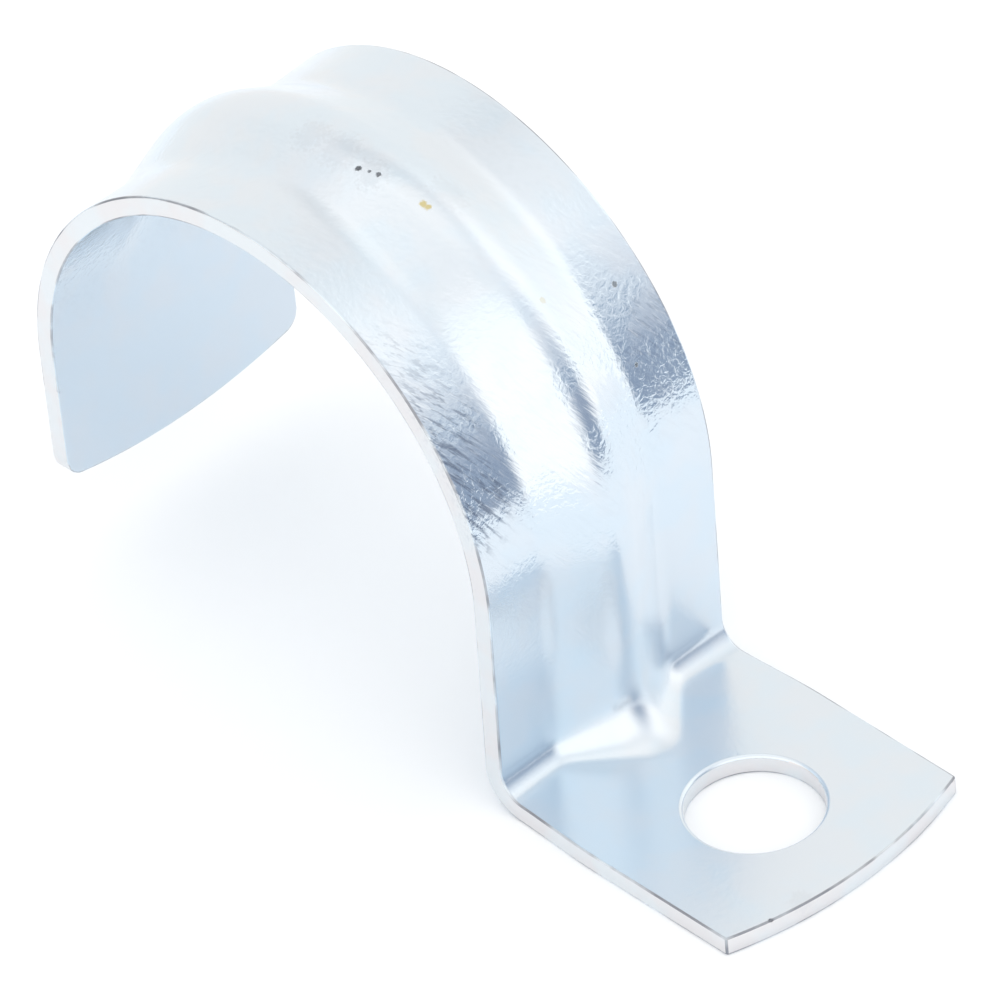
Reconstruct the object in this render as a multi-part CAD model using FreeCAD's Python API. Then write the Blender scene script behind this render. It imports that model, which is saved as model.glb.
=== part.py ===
"""One-hole conduit strap: a single piece of sheet steel, stamped and bent.

A half-round saddle holds the conduit. One leg ends free, the other bends outward into a flat tab with a
screw hole. A raised rib stiffens the saddle: it rises behind the free leg, runs over the crown and down
the tab leg, and dies out on the tab.

Frame: origin at the centre of the screw hole, on the face that meets the wall. +Z points away from the
wall, +Y runs along the conduit, and the saddle lies on the -X side. All lengths in millimetres.
"""

import FreeCAD, Part
import math
import os

from FreeCAD import Vector

# Sheet and blank
sheet = 1.4
blank_width = 20.8  # tab and free end keep the width that the blank was cut to
draw_in = 0.35  # each edge of the saddle is pulled in this far by the forming of the rib

# Saddle, seen from the side
seat_radius = 19.2  # inside face, to hold a conduit of 38.4 outside diameter
seat_height = 16.5  # conduit axis above the wall
hole_to_seat = 33.3  # screw axis to conduit axis
free_leg_lean = 2.4  # degrees that the free leg leans in, to snap on to the conduit
tab_leg_lean = 0.8  # degrees that the tab leg leans in
free_end_height = 6.0  # corners of the free end above the wall
free_end_bow = 1.25  # how far the middle of the free end stands below its corners
free_end_corner_radius = 1.6

# Rib, in section across the strap
rib_height = 1.95
rib_crown_radius = 4.2  # outside face
rib_foot_radius = 3.5  # outside face, where the flank meets the flat flange
rib_flank_angle = 24.5  # degrees
rib_run_in_angle = 68.0  # degrees of saddle, up from the free side, over which the rib rises

# Bend and tab
bend_radius = 1.6  # inside the fold, between the tab leg and the tab
rib_bend_radius = 3.8  # the same fold along the crest of the rib
hole_diameter = 9.2
hole_rim_radius = 0.3  # rolled rim that the punch leaves on the upper face
tab_corner_reach = 7.8  # screw axis to the corners of the tab
tab_nose_bow = 1.7  # how far the middle of the tab's end stands beyond its corners
flare_length = 8.5  # stretch of the tab over which the edges widen to the blank's width

stations_per_arc = 7  # side profiles that shape each rounded stretch of the rib
margin = 5.0  # how far cutting tools reach past the sheet

# Derived sizes
crown_radius = seat_radius + sheet
free_angle = math.radians(180.0 + free_leg_lean)
tab_angle = math.radians(-tab_leg_lean)
run_in_top = free_angle - math.radians(rib_run_in_angle)
flank = math.radians(rib_flank_angle)
crown_half = rib_crown_radius * math.sin(flank)
foot_width = rib_foot_radius * math.sin(flank)
arcs_rise = (rib_crown_radius + rib_foot_radius) * (1.0 - math.cos(flank))
flank_width = (rib_height - arcs_rise) / math.tan(flank)
rib_half_width = crown_half + flank_width + foot_width
band_half = blank_width / 2.0 - draw_in
nose_x = tab_corner_reach + tab_nose_bow
rib_end_x = crown_radius + rib_height + rib_bend_radius - hole_to_seat
plate_start = (rib_end_x - hole_diameter / 2.0) / 2.0  # flat from edge to edge between the rib and the hole


def polar(angle, radius):
    return Vector(radius * math.cos(angle), 0, radius * math.sin(angle))


def rib_share(y):
    """Height of the rib at width y as a share of its full height: 1 at the crest, 0 on the flanges."""
    across = abs(y)
    if across >= rib_half_width:
        return 0.0
    if across <= crown_half:
        drop = rib_crown_radius - math.sqrt(rib_crown_radius**2 - across**2)
        return 1.0 - drop / rib_height
    if across >= crown_half + flank_width:
        to_edge = rib_half_width - across
        return (rib_foot_radius - math.sqrt(rib_foot_radius**2 - to_edge**2)) / rib_height
    foot_rise = rib_foot_radius * (1.0 - math.cos(flank))
    return (foot_rise + (crown_half + flank_width - across) * math.tan(flank)) / rib_height


def face_line(y, inset, end_x):
    """One face of the sheet at width y, from below the free end to end_x; inset 0 is the outer face."""
    share = rib_share(y)
    seat = Vector(-hole_to_seat, y, seat_height)
    over_rib = crown_radius + rib_height * share - inset
    swing = math.cos(free_angle - run_in_top)
    run_in_radius = ((crown_radius - (crown_radius + rib_height * share) * swing) / (1.0 - swing)) - inset
    run_in_centre = seat + polar(run_in_top, over_rib - run_in_radius)
    leg_top = run_in_centre + polar(free_angle, run_in_radius)
    leg_down = polar(free_angle + math.pi / 2.0, 1.0)
    leg_end = leg_top + leg_down * ((leg_top.z + margin) / -leg_down.z)
    crown_start = seat + polar(run_in_top, over_rib)
    crown_end = seat + polar(tab_angle, over_rib)

    fold = bend_radius + (rib_bend_radius - bend_radius) * share
    tab_top = sheet - inset
    outward = polar(tab_angle, 1.0)
    centre_z = sheet + fold
    centre_x = (crown_radius + rib_height * share + fold - (centre_z - seat_height) * outward.z) / outward.x
    fold_centre = Vector(centre_x - hole_to_seat, y, centre_z)
    fold_start = fold_centre - outward * (fold + inset)
    fold_end = Vector(fold_centre.x, y, tab_top)
    fold_turn = (math.pi - abs(tab_angle) + 1.5 * math.pi) / 2.0
    middle = fold_centre + polar(fold_turn, fold + inset)
    return [
        Part.LineSegment(leg_end, leg_top),
        Part.Arc(leg_top, run_in_centre + polar((free_angle + run_in_top) / 2.0, run_in_radius), crown_start),
        Part.Arc(crown_start, seat + polar((run_in_top + tab_angle) / 2.0, over_rib), crown_end),
        Part.LineSegment(crown_end, fold_start),
        Part.Arc(fold_start, middle, fold_end),
        Part.LineSegment(fold_end, Vector(end_x, y, tab_top)),
    ]


def side_profile(y, end_x):
    """Closed outline of the bent sheet at width y, as far along the tab as end_x."""
    outer = face_line(y, 0.0, end_x)
    inner = face_line(y, sheet, end_x)
    ends = [
        Part.LineSegment(outer[-1].EndPoint, inner[-1].EndPoint),
        Part.LineSegment(inner[0].StartPoint, outer[0].StartPoint),
    ]
    return Part.Wire(Part.__sortEdges__([curve.toShape() for curve in outer + inner + ends]))


def rib_stations():
    """Widths from the rib's one edge to the other, close together where its section is round."""
    stretches = [
        (-rib_half_width, -crown_half - flank_width),
        (-crown_half - flank_width, -crown_half),
        (-crown_half, crown_half),
        (crown_half, crown_half + flank_width),
        (crown_half + flank_width, rib_half_width),
    ]
    widths = [-rib_half_width]
    for start, end in stretches:
        for step in range(1, stations_per_arc + 1):
            widths.append(start + (end - start) * step / stations_per_arc)
    return widths


def make_bent_strip():
    """The bent sheet over its full width: ribbed middle, the plate that carries the hole, two flanges."""
    far_x = nose_x + margin
    ribbed = Part.makeLoft([side_profile(y, plate_start) for y in rib_stations()], True, False)
    corner = Vector(plate_start, -rib_half_width, 0)
    plate = Part.makeBox(far_x - plate_start, 2.0 * rib_half_width, sheet, corner)
    flange_reach = blank_width / 2.0 + margin - rib_half_width
    flanges = []
    for side in (-1.0, 1.0):
        edge_face = Part.Face(side_profile(side * rib_half_width, far_x))
        flanges.append(edge_face.extrude(Vector(0, side * flange_reach, 0)))
    return ribbed.fuse([plate] + flanges).removeSplitter()


def flare(start, end):
    """Soft S-shaped edge between two points of the plan, level with +X at both ends."""
    middle = (start.x + end.x) / 2.0
    curve = Part.BezierCurve()
    curve.setPoles([start, Vector(middle, start.y, start.z), Vector(middle, end.y, end.z), end])
    return curve


def cut_plan(strip):
    """Trims the edges and the tab's bowed end to the blank's outline, seen from above."""
    blank_half = blank_width / 2.0
    free_x = -hole_to_seat - crown_radius
    narrow_from = -hole_to_seat + polar(run_in_top, crown_radius).x
    narrow_to = -hole_to_seat + crown_radius
    full_from = narrow_to + flare_length
    back_x = free_x - margin
    floor = -margin
    outline = []
    for side in (-1.0, 1.0):
        y_full = side * blank_half
        y_band = side * band_half
        outline += [
            Part.LineSegment(Vector(back_x, y_full, floor), Vector(free_x, y_full, floor)),
            flare(Vector(free_x, y_full, floor), Vector(narrow_from, y_band, floor)),
            Part.LineSegment(Vector(narrow_from, y_band, floor), Vector(narrow_to, y_band, floor)),
            flare(Vector(narrow_to, y_band, floor), Vector(full_from, y_full, floor)),
            Part.LineSegment(Vector(full_from, y_full, floor), Vector(tab_corner_reach, y_full, floor)),
        ]
    corners = [Vector(tab_corner_reach, side * blank_half, floor) for side in (-1.0, 1.0)]
    outline.append(Part.Arc(corners[0], Vector(nose_x, 0, floor), corners[1]))
    outline.append(Part.LineSegment(Vector(back_x, -blank_half, floor), Vector(back_x, blank_half, floor)))
    wire = Part.Wire(Part.__sortEdges__([curve.toShape() for curve in outline]))
    height = seat_height + crown_radius + rib_height + 2.0 * margin
    return strip.common(Part.Face(wire).extrude(Vector(0, 0, height)))


def cut_free_end(strip):
    """Crops the free leg along a bowed line, seen from the side of the conduit."""
    blank_half = blank_width / 2.0
    back_x = -hole_to_seat - crown_radius - margin
    low_z = -2.0 * margin
    corners = [Vector(back_x, side * blank_half, free_end_height) for side in (-1.0, 1.0)]
    reach = [Vector(back_x, side * (blank_half + margin), free_end_height) for side in (-1.0, 1.0)]
    below = [Vector(point.x, point.y, low_z) for point in reach]
    outline = [
        Part.LineSegment(reach[0], corners[0]),
        Part.Arc(corners[0], Vector(back_x, 0, free_end_height - free_end_bow), corners[1]),
        Part.LineSegment(corners[1], reach[1]),
        Part.LineSegment(reach[1], below[1]),
        Part.LineSegment(below[1], below[0]),
        Part.LineSegment(below[0], reach[0]),
    ]
    wire = Part.Wire([curve.toShape() for curve in outline])
    return strip.cut(Part.Face(wire).extrude(Vector(-back_x - hole_to_seat, 0, 0)))


def round_free_end(strip):
    """Rounds the two corners of the free end, through the sheet."""
    corners = [
        edge
        for edge in strip.Edges
        if abs(edge.CenterOfMass.z - free_end_height) < sheet
        and abs(abs(edge.CenterOfMass.y) - blank_width / 2.0) < draw_in
        and edge.Length < 2.0 * sheet
    ]
    return strip.makeFillet(free_end_corner_radius, corners)


def punch_hole(strip):
    """The screw hole, with the rim rolled over on the face that the punch came from."""
    hole = Part.makeCylinder(hole_diameter / 2.0, sheet + 2.0 * margin, Vector(0, 0, -margin))
    drilled = strip.cut(hole)
    rim = [
        edge
        for edge in drilled.Edges
        if isinstance(edge.Curve, Part.Circle)
        and abs(edge.Curve.Radius - hole_diameter / 2.0) < 1e-4
        and abs(edge.CenterOfMass.z - sheet) < 1e-3
    ]
    return drilled.makeFillet(hole_rim_radius, rim)


def make_strap():
    blank = cut_plan(make_bent_strip())
    trimmed = round_free_end(cut_free_end(blank))
    return punch_hole(trimmed).Solids[0]


os.makedirs("parts", exist_ok=True)
make_strap().exportStep("parts/strap.step")
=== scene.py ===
"""Conduit strap in bright zinc plate: the visible sheet, its finish and the stage.

The strap is one stamped sheet. Frame: origin at the centre of the screw hole on the face that meets the
wall, +Z away from the wall, +Y along the conduit, the saddle on the -X side. Lengths in metres.
"""

import math

import bpy
from mathutils import Matrix, Vector


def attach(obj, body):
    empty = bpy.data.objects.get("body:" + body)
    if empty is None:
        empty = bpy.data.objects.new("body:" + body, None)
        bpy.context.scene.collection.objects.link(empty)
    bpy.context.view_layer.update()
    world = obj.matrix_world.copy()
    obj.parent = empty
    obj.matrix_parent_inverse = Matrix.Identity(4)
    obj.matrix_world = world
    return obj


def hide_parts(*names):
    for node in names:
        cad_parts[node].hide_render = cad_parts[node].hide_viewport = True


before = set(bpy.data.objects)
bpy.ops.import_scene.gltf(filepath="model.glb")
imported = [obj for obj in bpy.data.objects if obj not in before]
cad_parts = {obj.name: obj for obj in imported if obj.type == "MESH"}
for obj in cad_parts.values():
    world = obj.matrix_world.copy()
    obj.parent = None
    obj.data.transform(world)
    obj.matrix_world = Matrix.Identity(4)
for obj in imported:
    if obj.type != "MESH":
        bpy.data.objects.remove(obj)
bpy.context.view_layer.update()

bl_info = {
    "name": "Conduit strap",
    "version": (1, 0, 0),
    "blender": (4, 5, 0),
    "location": "3D View > Sidebar > Conduit strap",
    "description": "Builds a ribbed one-hole conduit strap in zinc-plated sheet steel",
    "category": "Add Mesh",
}

NODE = "strap"

# How near two places count as the same
CLOSE = 1e-5

# Rows of faces along the strip, in order from the free end to the end of the tab
FREE_LEG_ROWS = 16
RUN_IN_ROWS = 45
SADDLE_ROWS = 76
TAB_LEG_ROWS = 14
FOLD_ROWS = 14
RUN_OUT_ROWS = 8
PLATE_ROWS = 20

# Faces around the screw hole, over its rolled rim and over a worn edge
HOLE_SIDES = 128
RIM_STEPS = 5
EDGE_STEPS = 3

# Strokes that the forming left in the plate: their slant, and how much longer than wide they are
STROKE_SLANT = (math.radians(32.0), math.radians(-25.0), 0.0)
STROKE_STRETCH = (1.0, 1.0, 9.0)

# The relief is weak below the drawn saddle and calms towards the crown; heights over the wall
DRAWN_FROM = 0.015
DRAWN_OVER = 0.008
UNDRAWN_RELIEF = 0.14
CALM_FROM = 0.029
CALM_TO = 0.034
CALM_RELIEF = 0.4

# Marks of handling, each as place, radius and strength; the pits are real dents in the bump, with painted shade at
# their bottoms
PITS = (
    ((-0.03094, -0.00173, 0.03852), 0.00021, 0.9),
    ((-0.03018, -0.00152, 0.03856), 0.00015, 0.7),
    ((-0.02956, -0.00130, 0.03851), 0.00021, 0.8),
    ((-0.01788, 0.00758, 0.03015), 0.00021, 0.7),
    ((-0.01497, 0.00631, 0.02590), 0.00016, 0.7),
    ((0.00867, -0.00725, 0.00140), 0.00022, 0.9),
    ((0.00869, 0.00869, 0.00140), 0.00022, 0.9),
    ((0.00807, 0.01010, 0.00140), 0.00025, 0.9),
)
SMUDGES = (
    ((-0.03556, -0.00149, 0.03864), 0.0015, 0.16),
    ((-0.03286, -0.00144, 0.03877), 0.0017, 0.16),
    ((-0.03000, -0.00150, 0.03853), 0.0013, 0.22),
    ((-0.02576, 0.00120, 0.03760), 0.0016, 0.12),
    ((0.00875, -0.00453, 0.00140), 0.0011, 0.12),
)
STAINS = (
    ((-0.02600, -0.00085, 0.03775), 0.00034, 0.85),
    ((-0.02566, -0.00078, 0.03762), 0.00030, 0.85),
    ((-0.01800, 0.00146, 0.03268), 0.00034, 0.30),
)
SCUFFS = (
    ((-0.0200, -0.0100, 0.0325), 0.0045, 0.7),
    ((-0.0170, -0.0098, 0.0290), 0.0048, 1.0),
    ((-0.0146, -0.0096, 0.0245), 0.0048, 1.0),
    ((-0.0150, 0.0090, 0.0270), 0.0040, 0.35),
)

# Tones of the tent, of its gap and of its back, by height over the horizon as a share of a right angle
TENT_TONES = (
    (0.00, (0.89, 0.89, 0.89)),
    (0.49, (0.89, 0.89, 0.89)),
    (0.58, (0.81, 0.81, 0.82)),
    (0.65, (0.69, 0.71, 0.73)),
    (0.74, (0.72, 0.74, 0.76)),
    (0.86, (0.80, 0.80, 0.80)),
)
GAP_TONES = (
    (0.00, (0.22, 0.27, 0.36)),
    (0.10, (0.25, 0.30, 0.39)),
    (0.20, (0.38, 0.43, 0.51)),
    (0.29, (0.50, 0.54, 0.60)),
    (0.39, (0.60, 0.63, 0.68)),
    (0.49, (0.66, 0.69, 0.73)),
    (0.58, (0.70, 0.72, 0.75)),
    (0.67, (0.70, 0.71, 0.73)),
    (0.80, (0.78, 0.78, 0.79)),
)
BACK_TONES = (
    (0.00, (0.18, 0.20, 0.23)),
    (0.12, (0.28, 0.30, 0.33)),
    (0.34, (0.56, 0.57, 0.59)),
    (0.62, (0.74, 0.74, 0.75)),
    (0.76, (0.84, 0.84, 0.84)),
)

# Angles from the middle of the gap: where the gap starts to fade, and where the back starts and is full
GAP_CORE = 0.04
BACK_START = math.radians(146.0)
BACK_FULL = math.radians(176.0)

# The dimmer side of the tent
DIM_DIRECTION = (-0.906, 0.423, 0.0)
DIM_FULL = 0.75
DIM_TONE = (0.80, 0.80, 0.80, 1.0)

WHITE = (1.0, 1.0, 1.0, 1.0)
FLOOR_MIDDLE = (-0.02, 0.0, 0.0)


def length(name, description, default):
    return bpy.props.FloatProperty(name=name, description=description, default=default, min=0.0, precision=5,
                                   subtype="DISTANCE", unit="LENGTH")


def angle(name, description, default):
    return bpy.props.FloatProperty(name=name, description=description, default=math.radians(default),
                                   subtype="ANGLE", unit="ROTATION")


def share(name, description, default):
    return bpy.props.FloatProperty(name=name, description=description, default=default, min=0.0, max=1.0,
                                   precision=3, subtype="FACTOR")


def colour(name, description, default):
    return bpy.props.FloatVectorProperty(name=name, description=description, default=default, size=4, min=0.0,
                                         max=1.0, subtype="COLOR")


class StrapShape(bpy.types.PropertyGroup):
    sheet: length("Sheet", "Thickness of the sheet", 0.0014)
    blank_width: length("Blank width", "Width of the tab and of the free end", 0.0208)
    draw_in: length("Draw-in", "How far each edge of the saddle is pulled in by the rib", 0.00035)
    seat_radius: length("Seat radius", "Inside radius of the saddle", 0.0192)
    seat_height: length("Seat height", "Conduit axis above the wall", 0.0165)
    hole_to_seat: length("Hole to seat", "Screw axis to conduit axis", 0.0333)
    free_leg_lean: angle("Free leg lean", "How far the free leg leans in", 2.4)
    tab_leg_lean: angle("Tab leg lean", "How far the tab leg leans in", 0.8)
    free_end_height: length("Free end height", "Corners of the free end above the wall", 0.006)
    free_end_bow: length("Free end bow", "How far the middle of the free end stands below its corners", 0.00125)
    free_end_corner: length("Free end corner", "Rounding of the free end's corners", 0.0016)
    rib_height: length("Rib height", "Crest of the rib above the flanges", 0.00195)
    rib_crown_radius: length("Rib crown radius", "Rounding of the crest, outside", 0.0042)
    rib_foot_radius: length("Rib foot radius", "Rounding where the flanks meet the flanges, outside", 0.0035)
    rib_flank_angle: angle("Rib flank angle", "Slope of the rib's flanks", 24.5)
    rib_run_in_angle: angle("Rib run-in", "Stretch of the saddle over which the rib rises", 68.0)
    bend_radius: length("Bend radius", "Inside radius of the fold beside the rib", 0.0016)
    rib_bend_radius: length("Rib bend radius", "Inside radius of the fold along the rib's crest", 0.0038)
    hole_diameter: length("Hole diameter", "Screw hole", 0.0092)
    hole_rim_radius: length("Hole rim", "Rolled rim of the hole on the upper face", 0.0003)
    tab_corner_reach: length("Tab reach", "Screw axis to the corners of the tab", 0.0078)
    tab_nose_bow: length("Tab bow", "How far the middle of the tab's end stands beyond its corners", 0.0017)
    flare_length: length("Flare", "Stretch of the tab over which its edges widen", 0.0085)
    flange_curl: length("Flange curl", "How far the saddle's edges turn outward beside the rib", 0.0001)
    edge_radius: length("Edge radius", "Worn rounding of the sheared edges", 0.00012)
    columns: bpy.props.IntProperty(name="Columns", description="Faces across the sheet", default=84, min=20)


class PlateFinish(bpy.types.PropertyGroup):
    plate_colour: colour("Plate", "Colour of the plated faces", (0.675, 0.77, 0.855, 1.0))
    plate_tint: colour("Plate tint", "Colour of the faint clouds in the plate", (0.70, 0.77, 0.84, 1.0))
    plate_roughness: share("Plate roughness", "Roughness of the plated faces", 0.15)
    plate_relief: length("Plate relief", "Depth of the grain on the plated faces", 0.000058)
    plate_pebble: length("Plate pebbles", "Size of the grain on the plated faces", 0.00045)
    edge_colour: colour("Edge", "Colour of the sheared walls", (0.76, 0.80, 0.83, 1.0))
    edge_tint: colour("Edge tint", "Colour of the faint clouds on the sheared walls", (0.78, 0.775, 0.79, 1.0))
    edge_roughness: share("Edge roughness", "Roughness of the sheared walls", 0.30)
    edge_relief: length("Edge relief", "Depth of the grain on the sheared walls", 0.00004)
    edge_pebble: length("Edge pebbles", "Size of the grain on the sheared walls", 0.0003)
    fleck_colour: colour("Flecks", "Colour of the flecks in scuffed plate", (0.26, 0.31, 0.39, 1.0))
    smudge_colour: colour("Smudges", "Colour of the smudges", (0.50, 0.54, 0.60, 1.0))
    stain_colour: colour("Stains", "Colour of the stains", (0.60, 0.52, 0.22, 1.0))
    # Painted shade: the near-black colour at the bottom of the pits stands in for the shade inside the dents
    pit_shade_colour: colour("Pits", "Colour at the bottom of the pits", (0.10, 0.11, 0.13, 1.0))
    worn_colour: colour("Worn edge", "Colour of the edges where the plate is worn", (0.30, 0.32, 0.36, 1.0))


class StageSettings(bpy.types.PropertyGroup):
    floor_colour: colour("Floor", "Colour of the floor", (0.88, 0.92, 0.96, 1.0))
    floor_glow: bpy.props.FloatProperty(name="Floor glow", description="Light that comes through the table top",
                                        default=0.10, min=0.0)
    floor_radius: length("Floor radius", "Radius of the round table top", 0.145)
    tent_strength: bpy.props.FloatProperty(name="Tent strength", description="Brightness of the light tent",
                                           default=1.6, min=0.0)
    tent_colour: colour("Tent", "Colour of the light tent", (1.0, 0.957, 0.913, 1.0))
    gap_azimuth: angle("Gap azimuth", "Direction of the dark gap in the tent, from +Y towards +X", 57.5)
    gap_reach: angle("Gap reach", "Half the width of the gap", 33.0)
    camera_azimuth: angle("Camera azimuth", "Camera turned about the vertical, from the front", 48.59)
    camera_elevation: angle("Camera elevation", "Camera above the horizon", 40.73)
    camera_roll: angle("Camera roll", "Camera turned about its own axis", -4.86)
    camera_aim: bpy.props.FloatVectorProperty(name="Camera aim", description="Point that the camera looks at",
                                              default=(-0.0210746, -0.0008512, 0.0156394), precision=5,
                                              subtype="TRANSLATION", unit="LENGTH")
    camera_distance: length("Camera distance", "Camera to the middle of the strap", 1.588)
    view_width: length("View width", "Width of the view at the strap", 0.06404)


def polar(turn, radius):
    return Vector((radius * math.cos(turn), 0.0, radius * math.sin(turn)))


def rib_share(shape, y):
    """Height of the rib at width y as a share of its full height: 1 at the crest, near 0 on the flanges."""
    crown_half = shape.rib_crown_radius * math.sin(shape.rib_flank_angle)
    foot_width = shape.rib_foot_radius * math.sin(shape.rib_flank_angle)
    round_rise = (shape.rib_crown_radius + shape.rib_foot_radius) * (1.0 - math.cos(shape.rib_flank_angle))
    flank_width = (shape.rib_height - round_rise) / math.tan(shape.rib_flank_angle)
    half = crown_half + flank_width + foot_width
    across = abs(y)
    if across >= half:
        out = min((across - half) / (shape.blank_width / 2.0 - half), 1.0)
        return out * out * shape.flange_curl / shape.rib_height
    if across <= crown_half:
        drop = shape.rib_crown_radius - math.sqrt(shape.rib_crown_radius**2 - across**2)
        return 1.0 - drop / shape.rib_height
    if across >= crown_half + flank_width:
        return (shape.rib_foot_radius - math.sqrt(shape.rib_foot_radius**2 - (half - across) ** 2)) / shape.rib_height
    foot_rise = shape.rib_foot_radius * (1.0 - math.cos(shape.rib_flank_angle))
    return (foot_rise + (crown_half + flank_width - across) * math.tan(shape.rib_flank_angle)) / shape.rib_height


def arc_share(y, half_width, bow):
    """A shallow arc over the full width: 1 in the middle, 0 at both edges."""
    radius = (half_width**2 + bow**2) / (2.0 * bow)
    across = min(abs(y), half_width)
    return (math.sqrt(radius**2 - across**2) - (radius - bow)) / bow


def corner_lift(shape):
    """How far up the side the rounding of a free corner reaches."""
    half = shape.blank_width / 2.0
    bow_radius = (half**2 + shape.free_end_bow**2) / (2.0 * shape.free_end_bow)
    return shape.free_end_corner * math.tan((math.pi / 2.0 - math.asin(half / bow_radius)) / 2.0)


def corner_share(shape, y):
    """How far the rounded corner stands above the bowed free end at width y: 1 at the very side."""
    half = shape.blank_width / 2.0
    radius = shape.free_end_corner
    lift = corner_lift(shape)
    across = min(abs(y) - (half - radius), radius)
    if across <= 0.0:
        return 0.0
    below = shape.free_end_bow * arc_share(y, half, shape.free_end_bow)
    return max(lift + below - math.sqrt(radius**2 - across**2), 0.0) / lift


def ease(value, start, end):
    """Soft S-shaped rise from 0 at the start to 1 at the end."""
    t = min(max((value - start) / (end - start), 0.0), 1.0)
    return t * t * (3.0 - 2.0 * t)


def plate_start(shape):
    """Halfway between the end of the rib and the screw hole, where the tab is flat from edge to edge."""
    rib_end = shape.seat_radius + shape.sheet + shape.rib_height + shape.rib_bend_radius - shape.hole_to_seat
    return (rib_end - shape.hole_diameter / 2.0) / 2.0


def start_mesh():
    """Leaves edit mode and deselects everything."""
    if bpy.context.object and bpy.context.object.mode != "OBJECT":
        bpy.ops.object.mode_set(mode="OBJECT")
    bpy.ops.object.select_all(action="DESELECT")


def clear_selection(mesh):
    for part in (mesh.polygons, mesh.edges, mesh.vertices):
        part.foreach_set("select", [False] * len(part))


def turn_row(centre, turn, steps):
    """Spins the selected end row about an axis along Y, positive from the saddle's free side over the crown."""
    bpy.ops.mesh.spin(steps=steps, angle=turn, center=centre, axis=(0.0, -1.0, 0.0))


def run_row(step, rows):
    """Extrudes the selected end row in a straight line."""
    for _ in range(rows):
        bpy.ops.mesh.extrude_region_move(TRANSFORM_OT_translate={"value": step / rows})


def bend_strip(shape, name, share=0.0, bow=0.0, trim=0.0):
    """Outer face of the sheet at one height of the rib, from the free end to the tab's end."""
    crown_radius = shape.seat_radius + shape.sheet
    free_turn = math.pi + shape.free_leg_lean
    tab_turn = -shape.tab_leg_lean
    run_in_top = free_turn - shape.rib_run_in_angle
    seat = Vector((-shape.hole_to_seat, 0.0, shape.seat_height))
    over_rib = crown_radius + shape.rib_height * share
    swing = math.cos(shape.rib_run_in_angle)
    run_in_radius = (crown_radius - over_rib * swing) / (1.0 - swing)
    run_in_centre = seat + polar(run_in_top, over_rib - run_in_radius)
    leg_top = run_in_centre + polar(free_turn, run_in_radius)
    leg_down = polar(free_turn + math.pi / 2.0, 1.0)
    end_z = shape.free_end_height - bow * shape.free_end_bow + trim * corner_lift(shape)
    leg_end = leg_top + leg_down * ((leg_top.z - end_z) / -leg_down.z)
    fold = shape.bend_radius + (shape.rib_bend_radius - shape.bend_radius) * share
    outward = polar(tab_turn, 1.0)
    fold_z = shape.sheet + fold
    fold_x = (over_rib + fold - (fold_z - shape.seat_height) * outward.z) / outward.x - shape.hole_to_seat
    fold_centre = Vector((fold_x, 0.0, fold_z))
    crown_end = seat + polar(tab_turn, over_rib)
    plate_x = plate_start(shape)
    nose_x = shape.tab_corner_reach + bow * shape.tab_nose_bow

    start_mesh()
    leg = leg_top - leg_end
    bpy.ops.mesh.primitive_grid_add(x_subdivisions=FREE_LEG_ROWS, y_subdivisions=shape.columns, size=1.0,
                                    location=(leg_top + leg_end) / 2.0,
                                    rotation=(0.0, math.atan2(leg.x, leg.z) - math.pi / 2.0, 0.0))
    strip = bpy.context.object
    strip.name = name
    strip.scale = (leg.length, shape.blank_width, 1.0)
    bpy.ops.object.transform_apply(location=True, rotation=True, scale=True)
    top = max(vertex.co.z for vertex in strip.data.vertices)
    clear_selection(strip.data)
    for vertex in strip.data.vertices:
        vertex.select = vertex.co.z > top - CLOSE
    bpy.ops.object.mode_set(mode="EDIT")
    bpy.ops.mesh.select_mode(type="VERT")
    turn_row(run_in_centre, free_turn - run_in_top, RUN_IN_ROWS)
    turn_row(seat, run_in_top - tab_turn, SADDLE_ROWS)
    run_row(fold_centre - outward * fold - crown_end, TAB_LEG_ROWS)
    turn_row(fold_centre, tab_turn - math.pi / 2.0, FOLD_ROWS)
    run_row(Vector((plate_x - fold_x, 0.0, 0.0)), RUN_OUT_ROWS)
    run_row(Vector((nose_x - plate_x, 0.0, 0.0)), PLATE_ROWS)
    bpy.ops.object.mode_set(mode="OBJECT")
    return strip


def weigh(strip, name, share_at):
    """A vertex group whose weight follows the place on the strip."""
    group = strip.vertex_groups.new(name=name)
    for vertex in strip.data.vertices:
        weight = share_at(vertex.co)
        if weight > 0.0:
            group.add([vertex.index], weight, "REPLACE")


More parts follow.
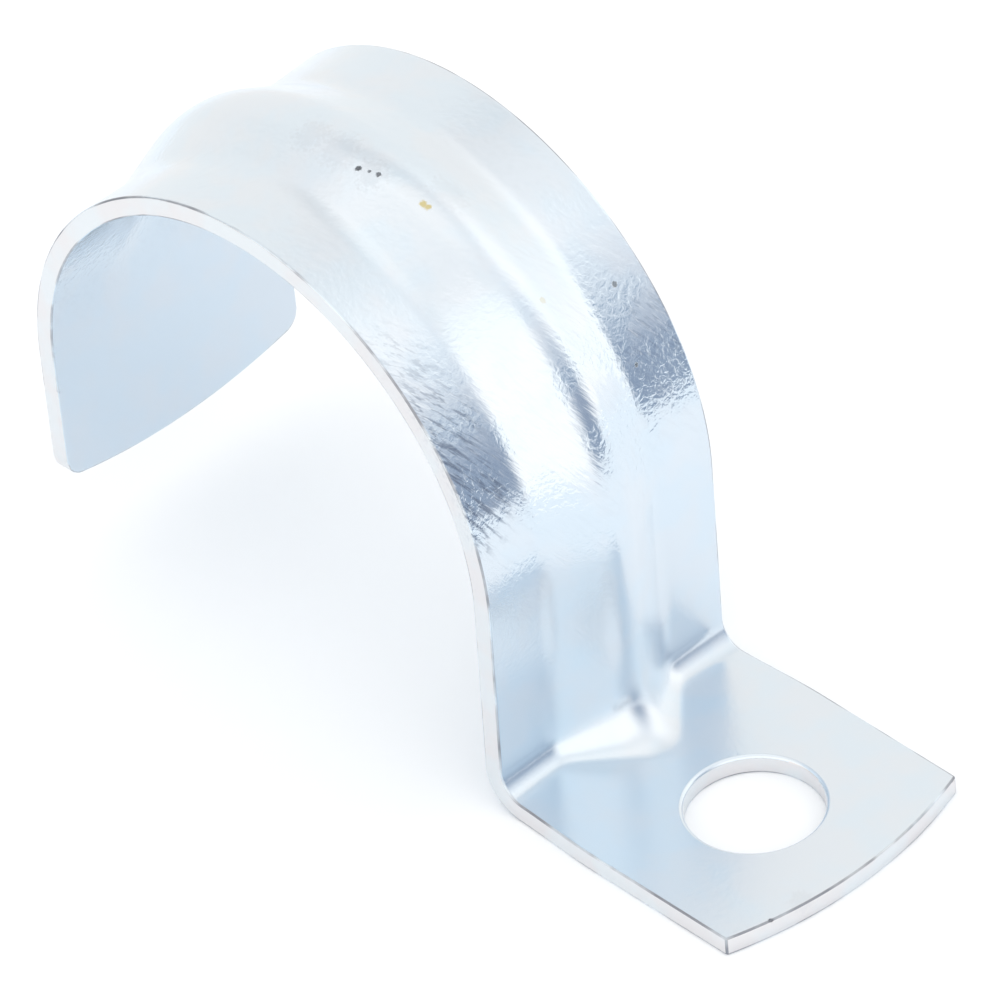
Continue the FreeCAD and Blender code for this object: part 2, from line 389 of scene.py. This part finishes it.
def make_sheet(shape):
    """Blends strips bent beside the rib and along its crest by the rib's section, then gives them thickness."""
    half = shape.blank_width / 2.0
    crown_radius = shape.seat_radius + shape.sheet
    run_in_top = math.pi + shape.free_leg_lean - shape.rib_run_in_angle
    band_from = crown_radius * math.cos(run_in_top) - shape.hole_to_seat
    band_to = crown_radius - shape.hole_to_seat
    strip = bend_strip(shape, NODE + "_sheet")
    crest = bend_strip(shape, "crest", share=1.0)
    bowed = bend_strip(shape, "bowed", bow=1.0)
    trimmed = bend_strip(shape, "trimmed", trim=1.0)
    drawn = bend_strip(shape, "drawn")
    drawn.data.transform(Matrix.Diagonal((1.0, 1.0 - shape.draw_in / half, 1.0, 1.0)))

    weigh(strip, "rib", lambda place: rib_share(shape, place.y))
    weigh(strip, "bow", lambda place: arc_share(place.y, half, shape.tab_nose_bow))
    weigh(strip, "corner", lambda place: corner_share(shape, place.y))
    weigh(strip, "draw", lambda place: ease(place.x, -shape.hole_to_seat - crown_radius, band_from)
          * (1.0 - ease(place.x, band_to, band_to + shape.flare_length)))
    start_mesh()
    for form in (crest, bowed, trimmed, drawn, strip):
        form.select_set(True)
    bpy.context.view_layer.objects.active = strip
    bpy.ops.object.join_shapes()
    for key, group in (("crest", "rib"), ("bowed", "bow"), ("trimmed", "corner"), ("drawn", "draw")):
        block = strip.data.shape_keys.key_blocks[key]
        block.value = 1.0
        block.vertex_group = group
    strip.active_shape_key_index = 0
    bpy.ops.object.shape_key_remove(all=True, apply_mix=True)
    bpy.ops.object.vertex_group_remove(all=True)
    for form in (crest, bowed, trimmed, drawn):
        bpy.data.meshes.remove(form.data)

    bpy.ops.object.mode_set(mode="EDIT")
    bpy.ops.mesh.select_all(action="SELECT")
    bpy.ops.mesh.normals_make_consistent(inside=False)
    bpy.ops.object.mode_set(mode="OBJECT")
    tab_face = max(strip.data.polygons, key=lambda face: face.center.x)
    if tab_face.normal.z < 0.0:
        strip.data.flip_normals()

    wall = strip.modifiers.new("Sheet", "SOLIDIFY")
    wall.thickness = shape.sheet
    wall.offset = -1.0
    wall.use_even_offset = True
    wall.use_quality_normals = True
    bpy.ops.object.modifier_apply(modifier=wall.name)
    return strip


def punch_hole(shape, strip):
    """Cuts the screw hole through the flat of the tab and rolls its upper rim."""
    mesh = strip.data
    start_mesh()
    clear_selection(mesh)
    for face in mesh.polygons:
        face.select = abs(face.normal.z) > 0.9999 and face.center.x > plate_start(shape)
    bpy.context.tool_settings.mesh_select_mode = (False, False, True)
    bpy.ops.object.mode_set(mode="EDIT")
    bpy.ops.mesh.dissolve_faces()
    start_mesh()
    bpy.ops.mesh.primitive_cylinder_add(vertices=HOLE_SIDES, radius=shape.hole_diameter / 2.0,
                                        depth=8.0 * shape.sheet, location=(0.0, 0.0, 0.0))
    punch = bpy.context.object
    start_mesh()
    strip.select_set(True)
    bpy.context.view_layer.objects.active = strip
    cut = strip.modifiers.new("Screw hole", "BOOLEAN")
    cut.operation = "DIFFERENCE"
    cut.solver = "EXACT"
    cut.object = punch
    bpy.ops.object.modifier_apply(modifier=cut.name)
    bpy.data.meshes.remove(punch.data)

    clear_selection(mesh)
    reach = shape.hole_diameter / 2.0
    for edge in mesh.edges:
        ends = [mesh.vertices[index].co for index in edge.vertices]
        edge.select = all(
            abs(end.z - shape.sheet) < CLOSE and abs(end.xy.length - reach) < CLOSE for end in ends)
    bpy.ops.object.mode_set(mode="EDIT")
    bpy.ops.mesh.select_mode(type="EDGE")
    bpy.ops.mesh.bevel(offset=shape.hole_rim_radius, segments=RIM_STEPS, affect="EDGES")
    bpy.ops.object.mode_set(mode="OBJECT")


def finish_edges(shape, strip):
    """Wears the sheared edges slightly round and smooths the shading between them."""
    rounding = strip.modifiers.new("Edges", "BEVEL")
    rounding.width = shape.edge_radius
    rounding.segments = EDGE_STEPS
    rounding.limit_method = "ANGLE"
    rounding.angle_limit = math.radians(50.0)
    bpy.ops.object.modifier_apply(modifier=rounding.name)
    bpy.ops.object.shade_smooth_by_angle(angle=math.radians(40.0))
    normals = strip.modifiers.new("Normals", "WEIGHTED_NORMAL")
    normals.keep_sharp = True
    normals.weight = 80
    bpy.ops.object.modifier_apply(modifier=normals.name)


def add_node(tree, kind, values=(), **settings):
    """Adds a shader node with its settings; values fill its inputs, with a link where one is a socket."""
    item = tree.nodes.new("ShaderNode" + kind)
    for name, value in settings.items():
        setattr(item, name, value)
    for key, value in dict(values).items():
        if isinstance(value, bpy.types.NodeSocket):
            tree.links.new(value, item.inputs[key])
        else:
            item.inputs[key].default_value = value
    return item


def add_ramp(tree, value, tones):
    """A colour ramp over the value, through (place, tone) stops."""
    ramp = add_node(tree, "ValToRGB", {"Fac": value})
    stops = ramp.color_ramp.elements
    while len(stops) < len(tones):
        stops.new(1.0)
    for stop, (place, tone) in zip(stops, tones):
        stop.position = place
        stop.color = (*tone, 1.0)
    return ramp.outputs["Color"]


def blend(tree, factor, first, second, **settings):
    """The first colour, going over to the second as the factor rises."""
    mixed = add_node(tree, "Mix", {"Factor": factor, "A": first, "B": second}, data_type="RGBA", **settings)
    return mixed.outputs["Result"]


def arithmetic(tree, operation, *values):
    return add_node(tree, "Math", dict(enumerate(values)), operation=operation).outputs[0]


def fade(tree, value, start, end, first=1.0, last=0.0):
    """Goes softly from first, where the value is at the start, to last, where it is at the end."""
    return add_node(tree, "MapRange", {"Value": value, "From Min": start, "From Max": end, "To Min": first,
                                       "To Max": last}, interpolation_type="SMOOTHSTEP").outputs[0]


def new_group(name, inputs, outputs):
    group = bpy.data.node_groups.new(name, "ShaderNodeTree")
    for in_out, sockets in (("INPUT", inputs), ("OUTPUT", outputs)):
        for socket, kind in sockets:
            group.interface.new_socket(socket, in_out=in_out, socket_type="NodeSocket" + kind)
    return group, group.nodes.new("NodeGroupInput").outputs, group.nodes.new("NodeGroupOutput").inputs


def add_noise(tree, vector, scale, detail, roughness, distortion=0.0):
    return add_node(tree, "TexNoise", {"Vector": vector, "Scale": scale, "Detail": detail, "Roughness": roughness,
                                       "Distortion": distortion}).outputs["Fac"]


def make_grain():
    """Fine relief of the plating, pebbled like orange peel with slanting strokes where the sheet is drawn."""
    group, given, results = new_group(
        "plate grain",
        (("Vector", "Vector"), ("Pebble Size", "Float"), ("Stroke Share", "Float"), ("Drawn From", "Float")),
        (("Relief", "Float"), ("Clouds", "Float"), ("Flecks", "Float"), ("Undrawn", "Float")))
    place = given["Vector"]
    fine = arithmetic(group, "DIVIDE", 1.0, given["Pebble Size"])
    slanted = add_node(group, "Mapping", {"Vector": place, "Rotation": STROKE_SLANT, "Scale": STROKE_STRETCH},
                       vector_type="TEXTURE").outputs[0]
    pebbles = add_noise(group, place, fine, detail=2.0, roughness=0.55, distortion=0.4)
    strokes = add_noise(group, slanted, fine, detail=3.0, roughness=0.6)
    flecks = add_noise(group, slanted, arithmetic(group, "MULTIPLY", fine, 1.3), detail=2.0, roughness=0.7)
    clouds = add_noise(group, place, 260.0, detail=3.0, roughness=0.5)
    stroked = arithmetic(group, "MULTIPLY", fade(group, clouds, 0.56, 0.44), given["Stroke Share"])
    relief = add_node(group, "Mix", {"Factor": stroked, "A": pebbles, "B": strokes}, data_type="FLOAT")
    height = add_node(group, "SeparateXYZ", {0: place}).outputs["Z"]
    full_from = arithmetic(group, "ADD", given["Drawn From"], DRAWN_OVER)
    drawn = fade(group, height, given["Drawn From"], full_from, first=UNDRAWN_RELIEF, last=1.0)
    drawn = arithmetic(group, "MULTIPLY", drawn, fade(group, height, CALM_FROM, CALM_TO, last=CALM_RELIEF))
    group.links.new(arithmetic(group, "MULTIPLY", relief.outputs["Result"], drawn), results["Relief"])
    group.links.new(clouds, results["Clouds"])
    group.links.new(arithmetic(group, "MULTIPLY", drawn, fade(group, flecks, 0.34, 0.52)), results["Flecks"])
    group.links.new(arithmetic(group, "SUBTRACT", 1.0, drawn), results["Undrawn"])
    return group


def add_marks(tree, vector, marks, ragged):
    """Soft round marks at given places, with ragged outlines; each is (place, radius, strength)."""
    wobble = add_noise(tree, vector, 3200.0, detail=3.0, roughness=0.7)
    wobble = arithmetic(tree, "MULTIPLY", arithmetic(tree, "SUBTRACT", wobble, 0.5), ragged)
    total = 0.0
    for place, radius, strength in marks:
        reach = add_node(tree, "VectorMath", {0: vector, 1: place}, operation="DISTANCE").outputs["Value"]
        reach = arithmetic(tree, "ADD", reach, arithmetic(tree, "MULTIPLY", wobble, radius))
        mark = arithmetic(tree, "MULTIPLY", fade(tree, reach, radius * 0.45, radius), strength)
        total = arithmetic(tree, "MAXIMUM", mark, total)
    return total


def make_handling_marks(shape):
    """Pits, smudges and stains that handling has left at certain places, and scuffs on the outer face."""
    group, given, results = new_group(
        "handling marks", (("Vector", "Vector"),),
        (("Pits", "Float"), ("Smudges", "Float"), ("Stain", "Float"), ("Scuff", "Float")))
    place = given["Vector"]
    for output, marks, ragged in (("Pits", PITS, 2.2), ("Smudges", SMUDGES, 2.5), ("Stain", STAINS, 1.2)):
        group.links.new(add_marks(group, place, marks, ragged), results[output])
    to_axis = (shape.hole_to_seat, 0.0, -shape.seat_height)
    radius = add_node(group, "VectorMath", {0: place, 1: (1.0, 0.0, 1.0), 2: to_axis}, operation="MULTIPLY_ADD")
    radius = add_node(group, "VectorMath", {0: radius.outputs[0]}, operation="LENGTH").outputs["Value"]
    outer = shape.seat_radius + shape.sheet
    outside = fade(group, radius, outer - shape.sheet / 7.0, outer - shape.sheet * 5.0 / 7.0)
    scuffs = arithmetic(group, "MULTIPLY", add_marks(group, place, SCUFFS, 0.4), outside)
    group.links.new(scuffs, results["Scuff"])
    return group


def make_finish(name, finish, grain, marks, colour, tint, roughness, relief, pebble_size, stroke_share, fleck):
    """One zinc finish: its own colours, grain and roughness over the shared grain and handling marks, with painted
    shade at the bottoms of the pits.
    """
    material = bpy.data.materials.new(name)
    material.use_nodes = True
    tree = material.node_tree
    shader = tree.nodes["Principled BSDF"]
    place = add_node(tree, "TexCoord").outputs["Object"]
    grained = add_node(tree, "Group", {"Vector": place, "Pebble Size": pebble_size, "Stroke Share": stroke_share,
                                       "Drawn From": DRAWN_FROM}, node_tree=grain).outputs
    marked = add_node(tree, "Group", {"Vector": place}, node_tree=marks).outputs
    clouds, pits, smudges, stain = grained["Clouds"], marked["Pits"], marked["Smudges"], marked["Stain"]
    flecks = arithmetic(tree, "MULTIPLY", grained["Flecks"], arithmetic(tree, "MAXIMUM", marked["Scuff"], 0.06))
    worn = add_node(tree, "Attribute", attribute_name="worn").outputs["Fac"]
    worn = arithmetic(tree, "MULTIPLY", worn, fade(tree, clouds, 0.66, 0.36))

    tone = blend(tree, fade(tree, clouds, 0.62, 0.38), colour, tint)
    tone = blend(tree, arithmetic(tree, "MULTIPLY", flecks, fleck), tone, finish.fleck_colour)
    # Smudges, stains and worn edges are the plate's own marks; the pit colour is painted shade inside the dents
    for mask, mark_colour in ((smudges, finish.smudge_colour), (stain, finish.stain_colour),
                              (pits, finish.pit_shade_colour), (worn, finish.worn_colour)):
        tone = blend(tree, mask, tone, mark_colour)
    tree.links.new(tone, shader.inputs["Base Color"])
    shader.inputs["Metallic"].default_value = 1.0

    duller = arithmetic(tree, "MULTIPLY_ADD", clouds, 0.10, roughness - 0.05)
    for mask, more in ((flecks, 0.08), (grained["Undrawn"], 0.10), (smudges, 0.14), (stain, 0.25), (pits, 0.30),
                       (worn, 0.20)):
        duller = arithmetic(tree, "MULTIPLY_ADD", mask, more, duller)
    tree.links.new(duller, shader.inputs["Roughness"])

    pitted = arithmetic(tree, "MULTIPLY_ADD", pits, -3.0, grained["Relief"])
    surface = add_node(tree, "Bump", {"Height": pitted, "Strength": 1.0, "Distance": relief})
    tree.links.new(surface.outputs["Normal"], shader.inputs["Normal"])
    return material


def finish_sheet(strip, shape, finish):
    """Bright plate on the faces of the sheet, and the coarser plate of the sheared walls."""
    grain = make_grain()
    marks = make_handling_marks(shape)
    strip.data.materials.clear()
    strip.data.materials.append(make_finish(
        "bright zinc plate", finish, grain, marks, finish.plate_colour, finish.plate_tint, finish.plate_roughness,
        finish.plate_relief, finish.plate_pebble, stroke_share=0.9, fleck=0.85))
    strip.data.materials.append(make_finish(
        "sheared zinc edge", finish, grain, marks, finish.edge_colour, finish.edge_tint, finish.edge_roughness,
        finish.edge_relief, finish.edge_pebble, stroke_share=0.5, fleck=0.15))

    hole_reach = shape.hole_diameter / 2.0 + shape.hole_rim_radius / 2.0
    for face in strip.data.polygons:
        side = abs(face.normal.y) > 0.85
        nose = face.normal.x > 0.7 and face.center.x > shape.tab_corner_reach - shape.sheet
        free_end = (face.normal.z < -0.7 and face.center.x < -shape.hole_to_seat
                    and shape.sheet < face.center.z < shape.free_end_height + shape.sheet)
        hole = face.center.xy.length < hole_reach and abs(face.normal.z) < 0.3
        face.material_index = 1 if side or nose or free_end or hole else 0

    worn = strip.data.attributes.new("worn", "FLOAT", "FACE")
    for face, mark in zip(strip.data.polygons, worn.data):
        corners = [strip.data.vertices[index].co for index in face.vertices]
        shortest = min((one - other).length for one, other in zip(corners, corners[1:] + corners[:1]))
        mark.value = 1.0 if shortest < shape.edge_radius * 0.6 else 0.0


class STRAP_OT_sheet(bpy.types.Operator):
    """Forms the ribbed strap from one sheet, punches its screw hole and plates it"""

    bl_idname = "conduit_strap.sheet"
    bl_label = "Strap"

    def execute(self, context):
        shape = context.scene.strap_shape
        strip = make_sheet(shape)
        punch_hole(shape, strip)
        finish_edges(shape, strip)
        finish_sheet(strip, shape, context.scene.strap_finish)
        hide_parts(NODE)
        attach(strip, "root")
        return {"FINISHED"}


def light_studio(scene, stage):
    """A light tent, white to the eye, with a dark gap over the horizon, a dark back and a dimmer side."""
    world = bpy.data.worlds.new("studio")
    world.use_nodes = True
    tree = world.node_tree
    direction = add_node(tree, "TexCoord").outputs["Generated"]
    turned = add_node(tree, "VectorRotate", {"Vector": direction, "Angle": stage.gap_azimuth},
                      rotation_type="Z_AXIS").outputs[0]
    x, y, z = add_node(tree, "SeparateXYZ", {0: turned}).outputs
    aside = arithmetic(tree, "ABSOLUTE", arithmetic(tree, "ARCTAN2", x, y))
    height = arithmetic(tree, "DIVIDE", arithmetic(tree, "ARCSINE", z), math.radians(90.0))
    sideways = add_node(tree, "VectorMath", {0: direction, 1: DIM_DIRECTION}, operation="DOT_PRODUCT")
    dim = fade(tree, sideways.outputs["Value"], DIM_FULL, 0.0)
    back = fade(tree, aside, BACK_FULL, BACK_START)
    gap = fade(tree, aside, GAP_CORE, stage.gap_reach)
    tone = blend(tree, dim, add_ramp(tree, height, TENT_TONES), DIM_TONE, blend_type="MULTIPLY")
    tone = blend(tree, back, tone, add_ramp(tree, height, BACK_TONES))
    tone = blend(tree, gap, tone, add_ramp(tree, height, GAP_TONES))
    tone = blend(tree, 1.0, tone, stage.tent_colour, blend_type="MULTIPLY")
    tone = blend(tree, add_node(tree, "LightPath").outputs["Is Camera Ray"], tone, WHITE)
    background = tree.nodes["Background"]
    background.inputs["Strength"].default_value = stage.tent_strength
    tree.links.new(tone, background.inputs["Color"])
    scene.world = world


def lay_floor(stage):
    """A round pale table top, small enough that the tent's dark gap still shows below it from the side."""
    start_mesh()
    bpy.ops.mesh.primitive_circle_add(vertices=256, radius=stage.floor_radius, fill_type="NGON",
                                      location=FLOOR_MIDDLE)
    floor = bpy.context.object
    floor.name = "floor"
    paint = bpy.data.materials.new("floor paint")
    paint.use_nodes = True
    for key, value in (("Base Color", stage.floor_colour), ("Roughness", 0.9),
                       ("Emission Color", stage.floor_colour), ("Emission Strength", stage.floor_glow)):
        paint.node_tree.nodes["Principled BSDF"].inputs[key].default_value = value
    floor.data.materials.append(paint)


def make_camera(stage):
    """Looks at the strap from far off through a long lens, at the set angles."""
    turn, tilt, roll = stage.camera_azimuth, stage.camera_elevation, stage.camera_roll
    back = Vector((math.sin(turn) * math.cos(tilt), -math.cos(turn) * math.cos(tilt), math.sin(tilt)))
    level = Vector((math.cos(turn), math.sin(turn), 0.0))
    rise = back.cross(level)
    right = level * math.cos(roll) + rise * math.sin(roll)
    up = rise * math.cos(roll) - level * math.sin(roll)
    start_mesh()
    bpy.ops.object.camera_add(location=Vector(stage.camera_aim) + back * stage.camera_distance,
                              rotation=Matrix((right, up, back)).transposed().to_euler())
    camera = bpy.context.object
    camera.name = "camera"
    camera.data.sensor_width = 36.0
    camera.data.lens = camera.data.sensor_width * stage.camera_distance / stage.view_width
    camera.data.clip_end = 20.0
    bpy.context.scene.camera = camera


class STRAP_OT_stage(bpy.types.Operator):
    """Lays the floor and sets up the light and the camera"""

    bl_idname = "conduit_strap.stage"
    bl_label = "Stage"

    def execute(self, context):
        stage = context.scene.strap_stage
        lay_floor(stage)
        light_studio(context.scene, stage)
        context.scene.view_settings.view_transform = "Standard"
        make_camera(stage)
        return {"FINISHED"}


class STRAP_PT_panel(bpy.types.Panel):
    bl_idname = "STRAP_PT_panel"
    bl_label = "Conduit strap"
    bl_space_type = "VIEW_3D"
    bl_region_type = "UI"
    bl_category = "Conduit strap"

    def draw(self, context):
        layout = self.layout
        scene = context.scene
        for groups, operator in (((scene.strap_shape, scene.strap_finish), STRAP_OT_sheet),
                                 ((scene.strap_stage,), STRAP_OT_stage)):
            box = layout.box()
            for settings in groups:
                for name in type(settings).__annotations__:
                    box.prop(settings, name)
            box.operator(operator.bl_idname)


CLASSES = (StrapShape, PlateFinish, StageSettings, STRAP_OT_sheet, STRAP_OT_stage, STRAP_PT_panel)


def register():
    for cls in CLASSES:
        bpy.utils.register_class(cls)
    bpy.types.Scene.strap_shape = bpy.props.PointerProperty(type=StrapShape)
    bpy.types.Scene.strap_finish = bpy.props.PointerProperty(type=PlateFinish)
    bpy.types.Scene.strap_stage = bpy.props.PointerProperty(type=StageSettings)


def unregister():
    del bpy.types.Scene.strap_stage
    del bpy.types.Scene.strap_finish
    del bpy.types.Scene.strap_shape
    for cls in reversed(CLASSES):
        bpy.utils.unregister_class(cls)


def main():
    register()
    bpy.ops.conduit_strap.sheet()
    bpy.ops.conduit_strap.stage()


if __name__ == "__main__":
    main()
